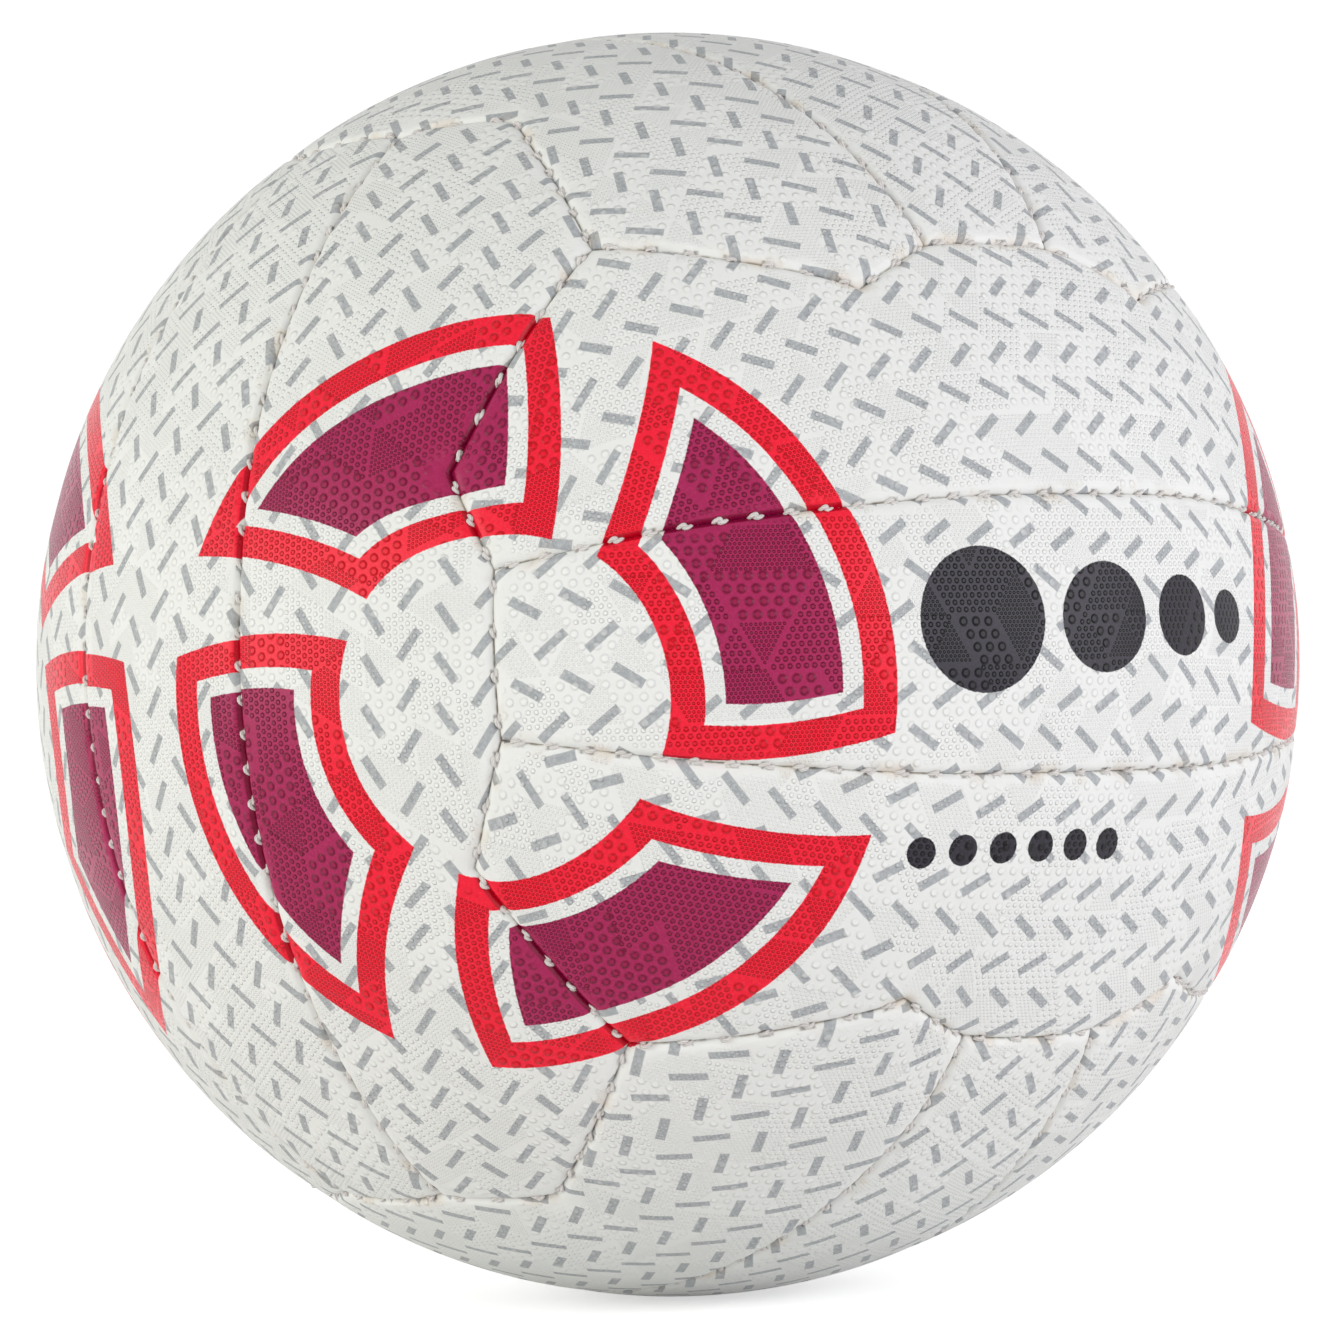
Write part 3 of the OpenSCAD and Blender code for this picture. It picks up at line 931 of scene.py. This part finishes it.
threadSet = dict(
    dark=linear(190, 184, 180), light=linear(243, 240, 237),
    fibresAlong=1.4, fibresRound=2.2,  # per mm
    grime=(0.5, 2.0, 0.6),             # scale, detail and roughness of the noise
    fibreShare=0.5, grimeShare=0.5,
    roughness=0.6, fibreRoughness=0.15,
    fibreHeight=0.06 * mm,
)


def makeThreadFinish():
    f = Nodes(bpy.data.materials.new("waxedThread"))
    h = threadSet
    s, t = [along * (1 / mm) for along in f.split(f.ownMap())[:2]]
    fibre = abs((s * h["fibresAlong"] + t * h["fibresRound"]).part() - 0.5) * 2.0
    grime = f.noise(f.join(s, t), *h["grime"])
    colour = f.mix(fibre * h["fibreShare"] + grime * h["grimeShare"], h["dark"], h["light"])
    roughness = fibre * h["fibreRoughness"] + h["roughness"]
    f.set(Base_Color=colour, Roughness=roughness, Normal=f.bump(fibre * h["fibreHeight"]))
    return f.owner


weaveSet = dict(
    patchy=(60.0, 3.0, 0.6),  # scale, detail and roughness of the noise
    overShare=0.35, patchyShare=0.6,
    roughness=0.8, overRoughness=0.08,
    height=0.08,              # of a thread, share of the pitch
)


def makeClothFinish(name, dark, light, pitch, place):
    # a plain weave: two sets of threads that go over and under each other
    f = Nodes(bpy.data.materials.new(name))
    c = weaveSet
    place = f.ownMap() if place == "ownMap" else f.coordinates(place)
    x, y, _ = [w * (2 * math.pi / pitch) for w in f.split(place)]
    over = x.math("SINE") * y.math("SINE")
    patchy = f.noise(place, *c["patchy"])
    colour = f.mix(over * c["overShare"] + patchy * c["patchyShare"], dark, light)
    roughness = over * c["overRoughness"] + c["roughness"]
    f.set(Base_Color=colour, Roughness=roughness, Normal=f.bump(over * (c["height"] * pitch)))
    return f.owner


rubberSet = dict(
    cloud=(45.0, 4.0, 0.6), grain=(1800.0, 2.0, 0.5), bloom=(160.0, 3.0, 0.7),
    cloudShare=0.8, grainShare=0.2,
    cloudHeight=0.05 * mm, grainHeight=0.03 * mm,
    bloomByNoise=(0.55, 0.75), bloomColour=linear(200, 198, 194), bloomShare=0.18, bloomRoughness=0.15,
)


def makeRubberFinish(name, dark, light, roughness):
    # moulded rubber: cloudy colour, a fine talc bloom and a soft grain
    f = Nodes(bpy.data.materials.new(name))
    r = rubberSet
    place = f.coordinates("Object")
    cloud, grain, bloom = [f.noise(place, *r[key]) for key in ("cloud", "grain", "bloom")]
    bloom = bloom.ramp(*r["bloomByNoise"])
    colour = f.mix(cloud * r["cloudShare"] + grain * r["grainShare"], dark, light)
    colour = f.mix(bloom * r["bloomShare"], colour, r["bloomColour"])
    height = grain * r["grainHeight"] + cloud * r["cloudHeight"]
    f.set(Base_Color=colour, Roughness=bloom * r["bloomRoughness"] + roughness, Normal=f.bump(height))
    return f.owner


def dress(piece, material):
    piece.data.materials.clear()
    piece.data.materials.append(material)


gripFinish, threadFinish = makeGripFinish(), makeThreadFinish()
clothSet = dict(
    lining=dict(
        name="liningCloth", dark=linear(196, 184, 156), light=linear(232, 224, 204),
        pitch=0.6 * mm, place="ownMap"),
    patch=dict(
        name="patchCloth", dark=linear(150, 132, 100), light=linear(198, 178, 142),
        pitch=0.8 * mm, place="Object"),
)
mouldedSet = dict(
    bladder=dict(name="bladderRubber", dark=linear(30, 30, 32), light=linear(58, 57, 58), roughness=0.5),
    body=dict(name="valveRubber", dark=linear(38, 40, 43), light=linear(66, 68, 70), roughness=0.55),
    insert=dict(name="insertRubber", dark=linear(96, 96, 94), light=linear(136, 135, 131), roughness=0.5),
)
liningFinish = makeClothFinish(**clothSet["lining"])
nodeFinishes = {kind: makeRubberFinish(**values) for kind, values in mouldedSet.items()}
nodeFinishes["patch"] = makeClothFinish(**clothSet["patch"])
for pieces, finish in ((covers, gripFinish), (linings, liningFinish), (threads, threadFinish)):
    for piece in pieces:
        dress(piece, finish)
for name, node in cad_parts.items():
    kind = name.split("_")[-1]
    if kind in nodeFinishes:
        dress(node, nodeFinishes[kind])
print("finishes made")

stageSet = dict(
    floorSize=6.0,
    floorGap=0.02 * mm,    # between the floor and the lowest point of the ball
    floorColours=(linear(248, 248, 248), linear(252, 252, 252)),
    floorSpecks=(30.0, 2.0, 0.5),
    floorRoughness=0.9,
    floorGlow=0.55,        # what is added to the floor where it is only looked at
    horizon=0.73,          # strength of the surroundings at the level of the eye
    overhead=0.4,          # what they lack straight above
    seenWhite=1.05,        # their strength where they are only looked at
)
# Each lamp: degrees to the right of the camera and above it, metres away, width, height, power and tint
lampSet = dict(
    leftSoftbox=(-60, 8, 1.4, 1.4, 0.75, 9.4, (1.0, 1.0, 0.91)),
    rightSoftbox=(60, 8, 1.4, 1.4, 0.75, 9.6, (1.0, 0.99, 1.04)),
)


def seenOnly(f):
    # 1 on rays that look straight, or by way of gloss or glass, and 0 on rays that light
    camera, glossy, through = [
        f.add("ShaderNodeLightPath", {}, {}, name)
        for name in ("Is Camera Ray", "Is Glossy Ray", "Is Transmission Ray")]
    return camera.most(glossy).most(through)


def makeStage():
    st = stageSet
    f = Nodes(bpy.data.materials.new("paleFloor"))
    speck = f.noise(f.coordinates("Object"), *st["floorSpecks"])
    f.set(Base_Color=f.mix(speck, *st["floorColours"]), Roughness=st["floorRoughness"])
    f.set(Emission_Color=(1, 1, 1, 1), Emission_Strength=seenOnly(f) * st["floorGlow"])
    bpy.ops.mesh.primitive_plane_add(size=st["floorSize"], location=(0, 0, cadLow.z - st["floorGap"]))
    floor = bpy.context.object
    floor.name = "studioFloor"
    dress(floor, f.owner)
    world = bpy.data.worlds.new("studio")
    bpy.context.scene.world = world
    f = Nodes(world, "Background")
    height = f.split(f.coordinates("Generated"))[2].most(0.0)
    light = st["horizon"] - height * st["overhead"]
    f.set(Color=(1, 1, 1, 1), Strength=light.most(seenOnly(f) * st["seenWhite"]))


def makeLamp(name, turn, rise, away, wide, high, power, tint):
    light = bpy.data.lights.new(name, "AREA")
    light.shape, light.size, light.size_y = "RECTANGLE", wide, high
    light.energy, light.color = power, tint
    lamp = bpy.data.objects.new(name, light)
    bpy.context.scene.collection.objects.link(lamp)
    lamp.location = Vector(direction(cameraSet["turn"] - turn, rise)) * away
    lamp.rotation_mode = "QUATERNION"
    lamp.rotation_quaternion = lamp.location.to_track_quat("Z", "Y")
    lamp.visible_camera = False


makeStage()
for name, values in lampSet.items():
    makeLamp(name, *values)
bpy.context.scene.view_settings.view_transform = "Standard"
print("stage and lamps set")
